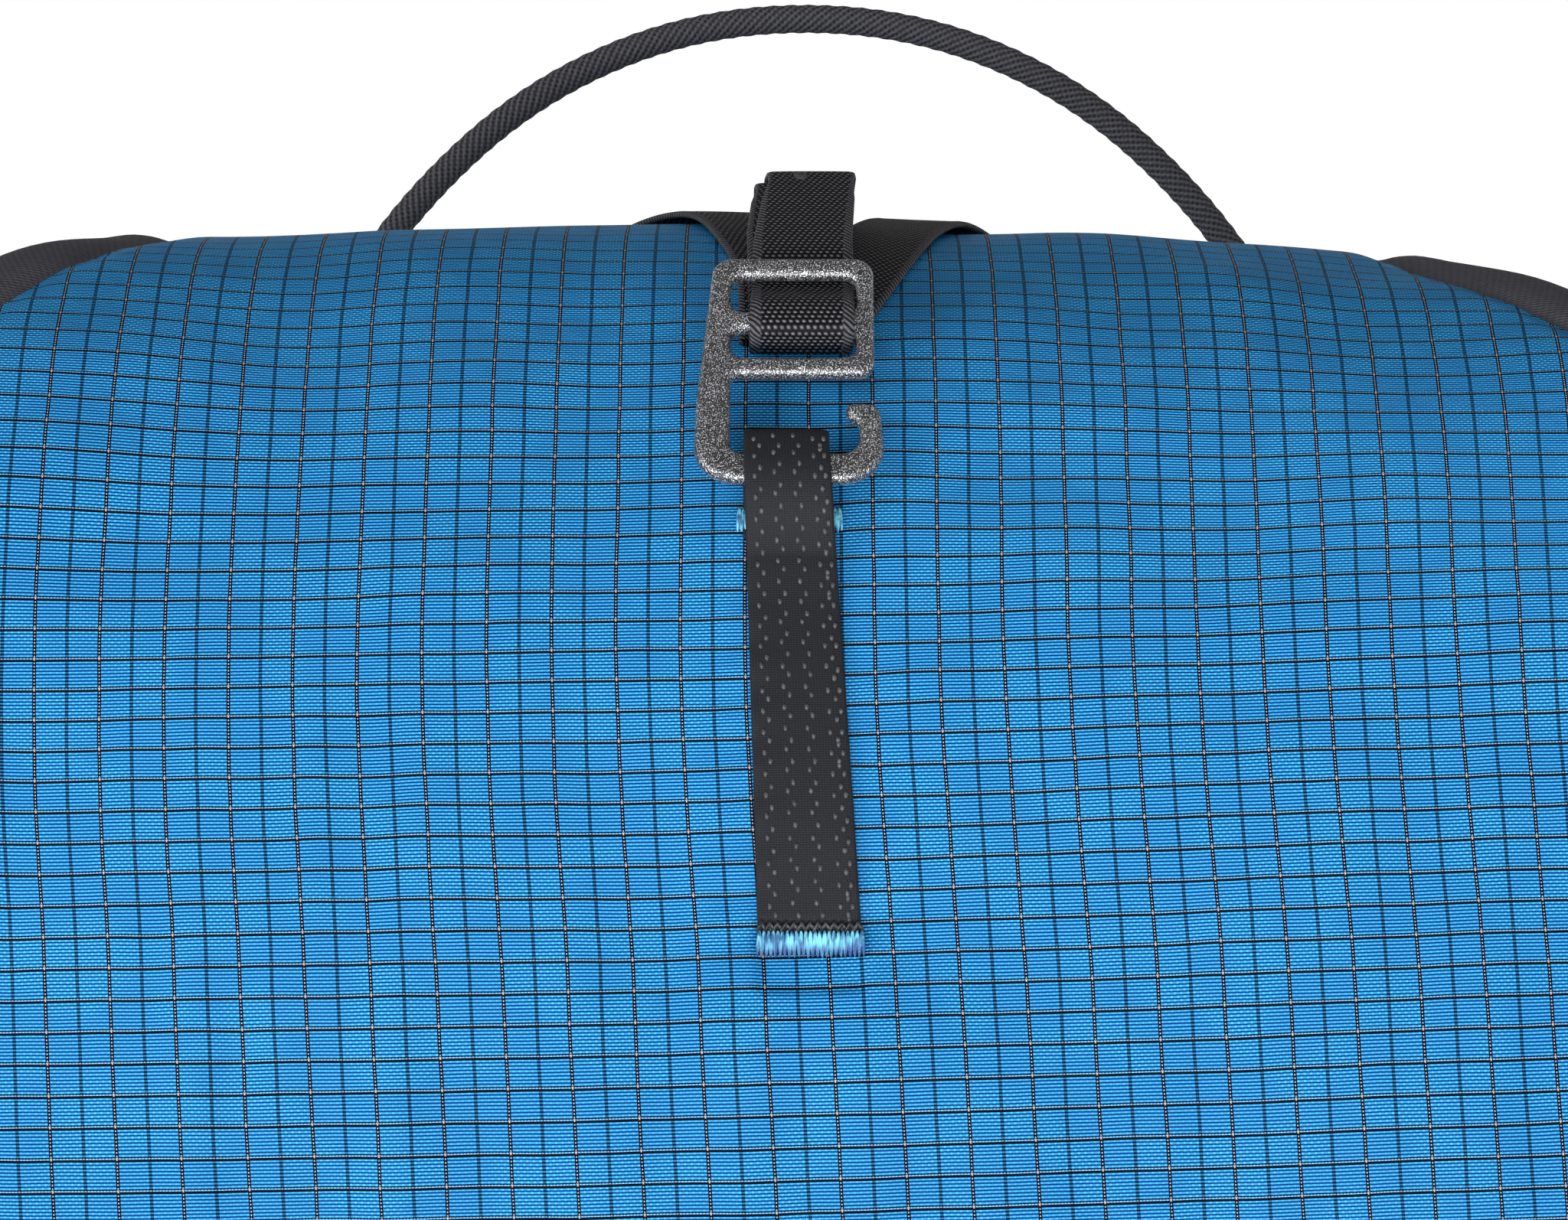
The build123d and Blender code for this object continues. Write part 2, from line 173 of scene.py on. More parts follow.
def arc_distance(reach, height, arcs):
    """How far points lie outside a row of arcs, and the slope of the nearest place on it."""
    far, slope = np.full(reach.shape, -1e3), np.zeros(reach.shape)
    for centre_out, centre_up, radius, first, last in arcs:
        angle = np.arctan2(reach - centre_out, height - centre_up)
        here = (angle >= first) & (angle < last)
        far[here] = (np.hypot(reach - centre_out, height - centre_up) - radius)[here]
        slope[here] = angle[here]
    return far, slope


def skin(points):
    """How far points lie outside the filled sack, and the directions that lead out of it."""
    x, y, z = points[..., 0], points[..., 1], points[..., 2]
    back = y >= CREST_Y
    side_far, side_slope = np.where(
        back, arc_distance(y - CREST_Y, z, BACK_ARCS), arc_distance(CREST_Y - y, z, FRONT_ARCS))
    wide = np.abs(x) - OUTLINE_FLAT
    out_far, out_slope = arc_distance(wide, z, OUTLINE_ARCS)
    out_far = np.where(wide < 0, z - OUTLINE_TOP, out_far)
    out_slope = np.where(wide < 0, 0.0, out_slope)
    side_way = np.where(back, 1.0, -1.0)
    side = stacked(0.0, side_way * np.sin(side_slope), np.cos(side_slope))
    out = stacked(np.sign(x) * np.sin(out_slope), 0.0, np.cos(out_slope))
    a, b = side_far + EDGE_ROUND, out_far + EDGE_ROUND
    both = np.clip(np.cos(side_slope) * np.cos(out_slope), -1, 0.9999)
    share_a, share_b = (a - both * b) / (1 - both ** 2), (b - both * a) / (1 - both ** 2)
    only_a = (a >= b) & ((share_b <= 0) | (b < 0))
    only_b = ~only_a & ((share_a <= 0) | (a < 0))
    share_a = np.where(only_b, 0, np.where(only_a, a, share_a))
    share_b = np.where(only_a, 0, np.where(only_b, b, share_b))
    lead = side * share_a[..., None] + out * share_b[..., None]
    size = np.linalg.norm(lead, axis=-1)
    inside = (a < 0) & (b < 0)
    normal = lead / np.maximum(size, 1e-9)[..., None] * np.where(inside, -1, 1)[..., None]
    walls = np.where(inside, np.maximum(a, b), size) - EDGE_ROUND
    c, d = np.maximum(walls + BOTTOM_ROUND, 0), np.maximum(BOTTOM_ROUND - z, 0)
    lead = normal * c[..., None] - UPWARDS * d[..., None]
    size = np.linalg.norm(lead, axis=-1)
    floor_near = d > 0
    normal = np.where(floor_near[..., None], lead / np.maximum(size, 1e-9)[..., None], normal)
    return np.where(floor_near, size - BOTTOM_ROUND, walls), normal


def cast(points, way, off=0.0):
    """Moves points along a direction to lie this far off the sack."""
    points = np.array(points, float)
    way = np.broadcast_to(np.asarray(way, float), points.shape)
    for _ in range(30):
        far, _normal = skin(points)
        points += way * (far - off)[..., None]
    return points


def settle(points, off=0.0):
    """Moves points straight towards the sack to lie this far off it."""
    points = np.array(points, float)
    off = np.broadcast_to(np.asarray(off, float), points.shape[:-1])
    for _ in range(4):
        far, normal = skin(points)
        points -= normal * (far - off)[..., None]
    return points


# ---- how the filled cloth hangs: one shift that every sewn piece shares ----
CREST_TILT = ((-146, 1.0), (-124, 1.2), (-97, 0.0), (-80, -0.7), (-30, -0.5), (0, -0.6),
              (28, -0.9), (41, -1.3), (68, -2.0), (98, -3.6), (116, -2.8), (146, -2.0))


def soft_step(value, low, high):
    share = np.clip((value - low) / (high - low), 0, 1)
    return share * share * (3 - 2 * share)


def bump(value, middle, spread):
    return np.exp(-((value - middle) / spread) ** 2)


def wander(x, y, z, size, seed):
    """Smooth seeded noise from -1 to 1, with its own length along each axis."""
    flat = np.stack([np.ravel(x) / size[0], np.ravel(y) / size[1], np.ravel(z) / size[2]], -1)
    values = [noise.noise(Vector((*p[:2], p[2] + 17.3 * seed))) for p in flat]
    return np.array(values).reshape(np.shape(x))


def draw_in(x, drop):
    """The right shoulder is stuffed less, so its seam lies further in over the crest."""
    return -10.0 * soft_step(x, 30, 100) * (1 - soft_step(drop, -2, 38))


def laid(points, off):
    """Points on the slack cloth, this far off it."""
    return slump(settle(np.array(points), off))


def slump(points):
    """Shifts points on the sack to where the soft cloth lies: the crest's tilt, slow hollows,
    hanging folds, and the dimples and pulls round the seams and the tape."""
    x, y, z = points[..., 0], points[..., 1], points[..., 2]
    _far, normal = skin(points)
    drop = CREST_Z - z
    on_front = soft_step(-y, -CREST_Y, -CREST_Y + 16)
    tilt_x, tilt_z = np.array(CREST_TILT).T
    tilt = sum(np.interp(x + shift, tilt_x, tilt_z) for shift in (-9, -3, 3, 9)) / 4
    tilt = tilt * (1 - soft_step(y, 20, 52)) * (1 - soft_step(drop, 8, 62))
    clear_middle = 1 - bump(x, -1, 12) * soft_step(-drop, -112, -100) * on_front
    slow = 2.2 * wander(x, y, z, (62, 62, 80), 1) + 1.3 * wander(x, y, z, (30, 30, 52), 2)
    low = soft_step(drop, 45, 130)
    folds = low * (1.7 * wander(x, y, z, (13, 13, 60), 3) + 0.6 * wander(x, y, z, (7, 7, 34), 4))
    left = low * on_front * soft_step(-x, 20, 60)
    folds = folds + left * 2.0 * wander(x, y, z, (10, 40, 50), 5)
    creep = (1 - low) * 0.7 * wander(x, y, z, (34, 20, 14), 6)
    seam_off = np.abs(x) - seam_half_width(z)
    pinch = -1.0 * bump(seam_off, 0, 2.6) * soft_step(z, 4, 14)
    puckers = pinch * 0.35 * wander(x, y, z, (6, 6, 6), 7)
    lift = (slow + folds + creep) * clear_middle * soft_step(z, 0, 60)
    near_tape = on_front * bump(x, 0, 26)
    pull = near_tape * (0.9 * bump(drop, 118, 11) - 1.3 * bump(drop, 104, 12))
    ledge = (soft_step(x, -8.2, -6.2) * soft_step(-x, -8.6, -6.6)
             * soft_step(drop, 101, 105) * soft_step(-drop, -112.4, -111.0) * on_front)
    beside = 0.35 * near_tape * bump(np.abs(x), 11, 4) * np.sin(drop * 0.9 + 2 * x / 10)
    beside = beside * soft_step(drop, 52, 66) * (1 - soft_step(drop, 100, 116))
    lift = lift + pinch + puckers + pull - 1.2 * ledge + beside
    still = 1 - bump(y, 62, 16) * soft_step(z, 395, 412)
    lift = lift * (0.25 + 0.75 * still)
    return points + normal * lift[..., None] + stacked(draw_in(x, drop), 0.0, tilt)


# ---- building pieces ----
def lattice(name, points, pattern, finish, weld=False, wall=0.0, cut=None):
    """A piece whose surface runs through rows of points. pattern is each point's place on the
    flat cloth, in mm, and finish its material and slot. weld joins edges that meet and closes the
    ends; wall gives an open sheet its thickness, inwards; cut is a (point, direction) past which
    the piece is cut off."""
    rows, columns = points.shape[:2]
    bm = bmesh.new()
    bmesh.ops.create_grid(bm, x_segments=columns - 1, y_segments=rows - 1, size=1.0)
    layer = bm.loops.layers.uv.new("Cloth")
    for vert in bm.verts:
        column = round((vert.co.x + 1) / 2 * (columns - 1))
        row = round((vert.co.y + 1) / 2 * (rows - 1))
        for loop in vert.link_loops:
            loop[layer].uv = pattern[row, column]
        vert.co = Vector(points[row, column]) * MM
    if weld:
        bmesh.ops.remove_doubles(bm, verts=bm.verts, dist=1e-6)
    if cut:
        everything = bm.verts[:] + bm.edges[:] + bm.faces[:]
        bmesh.ops.bisect_plane(bm, geom=everything, plane_co=Vector(cut[0]) * MM,
                               plane_no=Vector(cut[1]), clear_outer=True)
    if weld:
        bmesh.ops.dissolve_degenerate(bm, edges=bm.edges, dist=1e-7)
        bmesh.ops.holes_fill(bm, edges=[e for e in bm.edges if e.is_boundary], sides=0)
        bmesh.ops.recalc_face_normals(bm, faces=bm.faces)
    return place(baked(bm, name), finish, wall)


def place(mesh, finish, wall=0.0):
    """Puts a smooth mesh in the scene, with its finish and its wall."""
    mesh.polygons.foreach_set("use_smooth", [True] * len(mesh.polygons))
    piece = added(mesh.name, mesh)
    mesh.materials.append(finish[0])
    if wall:
        solid = piece.modifiers.new("Wall", "SOLIDIFY")
        solid.thickness = wall * MM
        solid.offset = -1.0
        solid.use_even_offset = False
    return piece


def sewn(name, points, pattern, finish, wall=CLOTH):
    """A sheet that lies slack over the sack, its rows turned so that its faces point outwards."""
    points = slump(points)
    row, column = (size // 2 for size in points.shape[:2])
    here = points[row, column]
    _far, normal = skin(here[None])
    if np.dot(np.cross(points[row, column + 1] - here, points[row + 1, column] - here), normal[0]) < 0:
        points, pattern = points[:, ::-1], pattern[:, ::-1]
    return lattice(name, points, pattern, finish, wall=wall)


def spaced(points):
    """Distance along each row of a point array, from its first column."""
    steps = np.linalg.norm(np.diff(points, axis=1), axis=-1)
    return np.concatenate([np.zeros((len(points), 1)), np.cumsum(steps, 1)], 1)


def eased(count, power):
    """Shares from 0 to 1, closer together towards both ends as power goes above 1."""
    share = np.linspace(-1, 1, count)
    return 0.5 + 0.5 * np.sign(share) * (1 - (1 - np.abs(share)) ** power)


def between_seams(runs, y, height, slope, share, inset=0.0, off=0.0):
    """Level rows of points on the sack from seam to seam, their places on the flat cloth and each
    row's length. slope is positive at the back and negative in front."""
    x = (seam_half_width(height) - inset)[:, None] * share
    out = stacked(0 * x, np.sin(slope)[:, None], np.cos(slope)[:, None])
    points = cast(stacked(x, y[:, None], height[:, None]) + out, -out, off)
    across = spaced(points)
    middle = across[:, len(share) // 2][:, None]
    return points, stacked(across - middle, -runs[:, None]), across[:, -1]


def panel(name, runs, columns, finish, inset=0.0, off=0.0):
    """A cloth panel behind the crest, and the length of each of its rows."""
    reach, height, slope = along_arcs(BACK_ARCS, runs)
    share = 2 * eased(columns, 1.35) - 1
    points, pattern, widths = between_seams(runs, CREST_Y + reach, height, slope, share, inset, off)
    return sewn(name, points, pattern, finish), widths


def gusset(side, side_name):
    """A stretch side panel, from the front seam round to the back seam, narrowing to a point
    where the two seams meet over the crest."""
    columns = 65
    drops = np.concatenate([[0.02], NEAR_CREST * np.linspace(0.05, 1, 26) ** 2,
                            np.linspace(NEAR_CREST + 3, CREST_Z - BOTTOM_SEAM, 150)])
    height = CREST_Z - drops
    half = seam_half_width(height)
    corner_up = SEAM_ARCS[0][1]
    lean = np.arccos(np.clip((height - corner_up) / SEAM_RADIUS, 0, 1))
    ends = []
    for way, arcs in ((-1, FRONT_ARCS), (1, BACK_ARCS)):
        reach, slope = np.array([side_at(arcs, h) for h in height]).T
        face = stacked(0.0, way * np.sin(slope), np.cos(slope))
        ends.append(cast(stacked(side * half, CREST_Y + way * reach, height) + face, -face))
    share = eased(columns, 1.7)[None, :, None]
    points = ends[0][:, None] * (1 - share) + ends[1][:, None] * share
    out = stacked(side * np.sin(lean), 0.0, np.cos(lean))[:, None]
    points[:, 1:-1] = cast(points[:, 1:-1] + out, -out)
    across = spaced(points)
    pattern = stacked(across - across[:, columns // 2][:, None], -drops[:, None])
    return sewn(f"{side_name}_gusset_cloth", points, pattern, CHARCOAL)


def side_at(arcs, height):
    """How far out the side view is at a height, and its slope there."""
    for centre_out, centre_up, radius, _first, last in arcs:
        if height >= centre_up + radius * math.cos(last) or last == math.pi:
            slope = math.acos(max(-1.0, min(1.0, (height - centre_up) / radius)))
            return centre_out + radius * math.sin(slope), slope


def band_section(width, thick, edge=1.0, count=24):
    """A flat band's outline: (across, up) pairs, with soft edges that may stand thicker."""
    turn = np.linspace(0, 2 * math.pi, count + 1)
    across = np.sign(np.cos(turn)) * np.abs(np.cos(turn)) ** 0.45 * width / 2
    up = np.sign(np.sin(turn)) * np.abs(np.sin(turn)) ** 0.55 * thick / 2
    near_edge = soft_step(np.abs(across) / (width / 2), 0.7, 0.86)
    return across, up * (1 + (edge - 1) * near_edge)


def rounded(points, passes=3):
    """A path with its corners cut off, twice as fine each pass."""
    points = np.array(points, float)
    for _ in range(passes):
        a, b = points[:-1], points[1:]
        cut = np.stack([a * 0.75 + b * 0.25, a * 0.25 + b * 0.75], 1).reshape(-1, points.shape[1])
        points = np.vstack([points[:1], cut, points[-1:]])
    return points


def evenly(points, step):
    """The same path, with points a fixed distance apart."""
    run = np.concatenate([[0], np.cumsum(np.linalg.norm(np.diff(points, axis=0), axis=1))])
    at = np.linspace(0, run[-1], max(3, round(run[-1] / step)))
    return np.stack([np.interp(at, run, points[:, k]) for k in range(points.shape[1])], -1), at


def side_band(name, path, x_middle, widths, thick, finish, edge=1.0, shift=None):
    """A band whose path is a run of (Y, Z) points, all at right angles to X."""
    path, run = evenly(rounded(path), 0.6)
    way = headings(path)
    up = np.stack([-way[:, 1], way[:, 0]], -1)
    share = run / run[-1]
    width = np.interp(share, *widths)
    middle = np.interp(share, *x_middle)
    across, high = band_section(1.0, thick, edge)
    x = middle[:, None] + across * width[:, None]
    y = path[:, :1] + up[:, :1] * high
    z = path[:, 1:] + up[:, 1:] * high
    points = stacked(x, y, z)
    pattern = stacked(x - middle[:, None], run[:, None])
    if shift:
        points = shift(points)
    piece = lattice(name, points, pattern, finish, weld=True)
    return piece, stacked(middle, *path.T), up, run


def lying_band(name, plan, width, thick, off, finish, edge=1.0, cut=None):
    """A band that lies on the sack: plan is (x, y, z) points near its surface, off how far off it
    the band lies, and cut a (point, direction) past which it is cut away."""
    plan, run = evenly(np.array(plan, float), 1.0)
    height = off(plan) if callable(off) else np.full(len(plan), off)
    middle = settle(plan, height)
    _far, normal = skin(middle)
    side = np.cross(headings(middle), normal)
    across, high = band_section(width, thick, edge)
    base = settle(middle[:, None] + side[:, None] * across[:, None], height[:, None])
    points = slump(base) + skin(base)[1] * high[:, None]
    return lattice(name, points, stacked(across, run[:, None]), finish, weld=True, cut=cut)


def stitch_row(name, starts, ends, up, thick, finish):
    """Satin stitches: a bowed thread from each start to its end, all in one piece."""
    bm = bmesh.new()
    for start, end in zip(starts, ends):
        run = Vector(end) - Vector(start)
        turn = run.to_track_quat("Z", "Y").to_matrix().to_4x4()
        middle = (Vector(start) + Vector(end)) / 2
        size = Matrix.Diagonal((thick * MM / 2, thick * MM / 2, run.length * MM / 2, 1))
        made = bmesh.ops.create_uvsphere(bm, u_segments=8, v_segments=8, radius=1.0,
                                         matrix=Matrix.Translation(middle * MM) @ turn @ size)
        for vert in made["verts"]:
            along = (vert.co / MM - middle).dot(run.normalized()) / (run.length / 2)
            vert.co += Vector(up) * MM * thick * 0.6 * (1 - along ** 2)
    return place(baked(bm, name), finish)


# ---- materials ----
class Field:
    """A number that changes over a surface, made of Math nodes."""

    def __init__(self, tree, socket):
        self.tree, self.socket = tree, socket

    def op(self, kind, *others, clamp=False):
        node = self.tree.nodes.new("ShaderNodeMath")
        node.operation = kind
        node.use_clamp = clamp
        for slot_in, value in zip(node.inputs, (self, *others)):
            if isinstance(value, Field):
                self.tree.links.new(value.socket, slot_in)
            else:
                slot_in.default_value = value
        return Field(self.tree, node.outputs[0])

    def __add__(self, other):
        return self.op("ADD", other)

    def __sub__(self, other):
        return self.op("SUBTRACT", other)

    def __mul__(self, other):
        return self.op("MULTIPLY", other)

    def held(self):
        """Kept between 0 and 1."""
        return self.op("MULTIPLY", 1.0, clamp=True)

    def wave(self, pitch, phase=0.0):
        """1 on the middle of every thread and 0 between them."""
        turns = self * (2 * math.pi / pitch) + phase
        return turns.op("COSINE") * 0.5 + 0.5

    def steps(self, pitch):
        """Counts threads: 0, 1, 2 and on."""
        return (self * (1 / pitch) + 0.5).op("FLOOR")

    def from_line(self, pitch):
        """Signed distance from the nearest of lines a pitch apart."""
        return self - self.steps(pitch) * pitch

    def inside(self, low, high, soft=0.03):
        """1 between two values, with soft ends."""
        up = (self - low).op("MULTIPLY", 1 / soft, clamp=True)
        down = (self.op("MULTIPLY", -1.0) + high).op("MULTIPLY", 1 / soft, clamp=True)
        return up * down


class Finish:
    """A material with its surface coordinates and a Principled shader."""

    def __init__(self, name, roughness, specular=0.5, own_map=True):
        self.material = bpy.data.materials.new(name)
        self.material.use_nodes = True
        self.tree = self.material.node_tree
        self.shader = self.tree.nodes["Principled BSDF"]
        self.shader.inputs["Roughness"].default_value = roughness
        self.shader.inputs["Specular IOR Level"].default_value = specular
        if own_map:
            cloth_map = self.node("ShaderNodeUVMap")
            cloth_map.uv_map = "Cloth"
            self.at = cloth_map.outputs[0]
        else:
            self.at = self.node("ShaderNodeTexCoord").outputs["Object"]
        split = self.node("ShaderNodeSeparateXYZ")
        self.tree.links.new(self.at, split.inputs[0])
        self.u, self.v, self.w = (Field(self.tree, out) for out in split.outputs)

    def node(self, kind, **values):
        """A new node, with the values of its inputs by their names."""
        made = self.tree.nodes.new(kind)
        for name, value in values.items():
            made.inputs[name].default_value = value
        return made

    def noise(self, scale, detail=2.0, stretch=(1, 1, 1)):
        mapping = self.node("ShaderNodeMapping", Scale=stretch)
        self.tree.links.new(self.at, mapping.inputs[0])
        texture = self.node("ShaderNodeTexNoise", Scale=scale, Detail=detail)
        self.tree.links.new(mapping.outputs[0], texture.inputs["Vector"])
        return Field(self.tree, texture.outputs[0])

    def mix(self, share, first, second):
        """A colour between two others; each is an (r, g, b) in sRGB 0-255 or another mix."""
        blend = self.node("ShaderNodeMix")
        blend.data_type = "RGBA"
        self.tree.links.new(share.socket, blend.inputs[0])
        for slot_in, colour in zip(blend.inputs[6:8], (first, second)):
            if isinstance(colour, tuple):
                slot_in.default_value = (*linear(colour), 1)
            else:
                self.tree.links.new(colour, slot_in)
        return blend.outputs[2]

    def paint(self, colour):
        self.tree.links.new(colour, self.shader.inputs["Base Color"])

    def relief(self, height, depth_mm, strength=1.0):
        bumps = self.node("ShaderNodeBump", Strength=strength, Distance=depth_mm * MM)
        self.tree.links.new(height.socket, bumps.inputs["Height"])
        self.tree.links.new(bumps.outputs[0], self.shader.inputs["Normal"])

    def rough(self, field, low, high):
        self.tree.links.new((field * (high - low) + low).socket, self.shader.inputs["Roughness"])


def linear(colour):
    """An sRGB colour, 0-255, as the numbers a shader takes."""
    shares = [c / 255 for c in colour]
    return [s / 12.92 if s <= 0.04045 else ((s + 0.055) / 1.055) ** 2.4 for s in shares]


def ripstop():
    """Blue ripstop: a fine plain weave under a grid of black threads with white flecks; the weave's
    yarn crowns are painted light and the gaps between yarns painted dark, as highlight and shade.
    """
    cloth = Finish("blue_ripstop_cloth", roughness=0.5, specular=0.05)
    cell_u, cell_v, yarn_u, yarn_v = 4.56, 4.45, 0.456, 0.4944
    drift = (cloth.noise(0.05) - 0.5) * 0.5
    u, v = cloth.u + drift, cloth.v + (cloth.noise(0.045, stretch=(1, 1.3, 1)) - 0.5) * 0.6
    parity = u.steps(yarn_u) + v.steps(yarn_v)
    checker = parity.op("MODULO", 2.0).op("ABSOLUTE")
    weft = v.wave(yarn_v)
    warp = u.wave(yarn_u)
    patch = cloth.noise(0.09, 1.0).inside(0.47, 1.0, soft=0.12)
    woven = weft * 0.7 + (weft * warp * checker) * (patch * 0.5 + 0.3)
    # painted highlight and shade: one blue yarn, lighter on its crowns and darker between yarns, over
    # the real weave pattern
    painted_yarn_shading = cloth.mix(woven.op("POWER", 1.25, clamp=True), (0, 38, 116), (74, 198, 255))
    strong_u = u.from_line(2 * cell_u)
    weak_u = (u - cell_u).from_line(2 * cell_u)
    across = v.from_line(cell_v)
    strong = strong_u.inside(-0.29, 0.29, 0.06)
    weak = weak_u.inside(-0.27, 0.27, 0.06) * (v.wave(yarn_v, math.pi) * 0.4 + 0.6)
    black = across.inside(-0.42, 0.03, 0.06)
    above = across.inside(0.15, 0.38, 0.06) * 0.9
    fleck_row = across.inside(0.0, 0.19, 0.05) * u.wave(yarn_u, 0.7).inside(0.42, 1.2, 0.2)
    fleck_line = strong_u.inside(-0.1, 0.1, 0.05) * v.wave(yarn_v, 0.9).inside(0.5, 1.2, 0.2)
    knot = strong_u.inside(-0.2, 0.2, 0.08) * across.inside(-0.05, 0.28, 0.08)
    dark = strong.op("MAXIMUM", black).op("MAXIMUM", above)
    colour = cloth.mix(weak, painted_yarn_shading, (2, 8, 34))
    colour = cloth.mix(dark, colour, (2, 6, 26))
    colour = cloth.mix(fleck_row * 0.7, colour, (186, 204, 228))
    colour = cloth.mix(fleck_line * 0.75, colour, (196, 202, 216))
    colour = cloth.mix(knot * 0.5, colour, (212, 196, 190))
    cloth.paint(colour)
    thick_threads = strong.op("MAXIMUM", across.inside(-0.25, 0.25, 0.1))
    height = woven * 0.5 + thick_threads * 0.5 + cloth.noise(0.22, 3.0) * 3.0
    cloth.relief(height, 0.10, 0.9)
    return cloth.material


def stretch_cloth():
    """Charcoal stretch cloth with a fine rib."""
    cloth = Finish("charcoal_stretch_cloth", roughness=0.75, specular=0.25)
    rib = cloth.u.wave(0.62)
    cross = cloth.v.wave(0.5) * 0.6 + (cloth.u + cloth.v).wave(0.9) * 0.4
    worn = cloth.noise(0.9, 3.0)
    share = (rib * 0.45 + cross * 0.3 + worn * 0.4).held()
    cloth.paint(cloth.mix(share, (36, 36, 41), (86, 84, 91)))
    cloth.relief(rib * 0.5 + cross * 0.5 + cloth.noise(0.25, 3.0) * 1.4, 0.12, 0.9)
    return cloth.material


def grosgrain():
    """Black woven tape with ribs across it."""
    tape = Finish("black_grosgrain", roughness=0.7, specular=0.3)
    rib = tape.v.wave(0.8)
    ends = tape.u.wave(0.4)
    tape.paint(tape.mix(rib * (ends * 0.4 + 0.6), (16, 16, 20), (58, 59, 66)))
    tape.relief(rib + ends * 0.3, 0.2, 0.9)
    return tape.material


def knitted_elastic(name, half_width, dark, highlight_colour, across_pitch, along_pitch):
    """Black elastic: staggered knit bumps and a braided edge down each side, with painted highlights
    on the bump crowns and braid ticks.
    """
    knit = Finish(name, roughness=0.6, specular=0.12)
    row = knit.v.steps(along_pitch / 2)
    shift = row.op("MODULO", 2.0).op("ABSOLUTE") * (across_pitch / 2)
    slant = knit.v * 0.22
    bead_u = (knit.u + shift + slant).wave(across_pitch)
    bead_v = knit.v.wave(along_pitch / 2)
    bead = (bead_u * bead_v).op("POWER", 1.6)
    edge = knit.u.op("ABSOLUTE").inside(half_width - 1.1, half_width + 2, 0.25)
    cord = (knit.v + knit.u * 0.8).wave(0.85) * edge
    # painted highlights: the crowns of the knit bumps and the braid ticks of black elastic take the
    # pale colour
    middle = bead * (edge * -1.0 + 1.0)
    glint = middle + cord * 0.45
    speck = knit.noise(2.3, 3.0)
    share = (glint * (speck * 1.2 + 0.05)).held()
    knit.paint(knit.mix(share, dark, highlight_colour))
    knit.relief(glint + edge * 0.35 + knit.noise(1.4, 2.0) * 0.3, 0.32, 1.0)
    return knit.material


def grip_rubber():
    """Dark grey tape with a dry, faintly grained face."""
    tape = Finish("grip_tape_face", roughness=0.62, specular=0.22)
    grain = tape.noise(3.2, 3.0)
    rib = tape.u.wave(0.42) * 0.35 + tape.v.wave(0.34) * 0.35
    face = grain * 0.6 + rib
    tape.paint(tape.mix((face * 0.9).held(), (12, 13, 16), (36, 37, 43)))
    tape.relief(face, 0.08, 0.8)
    return tape.material


def silicone():
    """Dark grey silicone with fine grain in its colour and relief."""
    rubber = Finish("silicone_dots", roughness=0.45, own_map=False)
    speck = rubber.noise(1800.0, 3.0)
    rubber.paint(rubber.mix(speck.inside(0.42, 1.0, 0.3), (56, 57, 61), (92, 92, 98)))
    rubber.relief(speck, 0.03, 0.8)
    return rubber.material


def satin_thread(name, low, high, roughness=0.3):
    """Twisted thread with a soft shine; its pale streaks and twist ridges are painted highlights, and
    the lower end of the lower tape tack is painted in shade where the stitches dive into the cloth.
    """
    thread = Finish(name, roughness, 0.6, own_map=False)
    twist = (thread.u + thread.w * 0.6).wave(0.25 * MM)
    # painted highlights: random streaks and the twist ridges take the pale colour over the thread's
    # deep blue
    highlight_streak = thread.noise(1500.0, 2.0, (1, 1, 0.22)).inside(0.4, 1.5, 0.22)
    share = (twist * 0.25 + highlight_streak * 0.85).held()
    # painted shade: darker at the lower end of the lower tape tack, picked out by height, where the
    # threads dive into the cloth
    painted_low_end_shade = thread.w.inside(340.0 * MM, 345.2 * MM, 1.3 * MM)
    thread.paint(thread.mix(share * (painted_low_end_shade * -0.8 + 1.0), low, high))
    thread.relief(twist, 0.04, 0.8)
    return thread.material


def speckled_coat():
    """Black powder coat with a sparkling, pebbled skin."""
    coat = Finish("speckled_black_coat", roughness=0.36, specular=1.0, own_map=False)
    pebble = coat.noise(5200.0, 2.0)
    broad = coat.noise(2300.0, 2.0)
    spark = pebble.inside(0.56, 1.2, 0.04)
    coat.paint(coat.mix(spark, (52, 53, 56), (250, 250, 252)))
    coat.relief(pebble * 0.7 + broad * 0.5, 0.13, 0.9)
    coat.rough(pebble, 0.24, 0.46)
    coat.shader.inputs["Metallic"].default_value = 0.6
    coat.shader.inputs["Coat Weight"].default_value = 0.5
    coat.shader.inputs["Coat Roughness"].default_value = 0.3
    return coat.material


def twill_webbing():
    """Black and dark grey twill wound round the haul loop."""
    rope = Finish("twill_webbing", roughness=0.65, specular=0.22)
    slant = (rope.u + rope.v).wave(1.45)
    counter = (rope.u - rope.v).wave(1.1)
    rib = rope.v.wave(0.72)
    cord = slant * 0.62 + counter * 0.22 + rib * 0.16
    share = (cord * 1.2 * (rope.noise(1.6, 2.0) + 0.45)).held()
    rope.paint(rope.mix(share, (22, 22, 26), (98, 97, 103)))
    rope.relief(cord + rope.noise(1.2) * 0.3, 0.3, 1.0)
    return rope.material


# each paired with a slot name, which nothing here reads
RIPSTOP = ripstop(), "blue_ripstop"
CHARCOAL = stretch_cloth(), "charcoal_cloth"
BINDING = grosgrain(), "binding_tape"
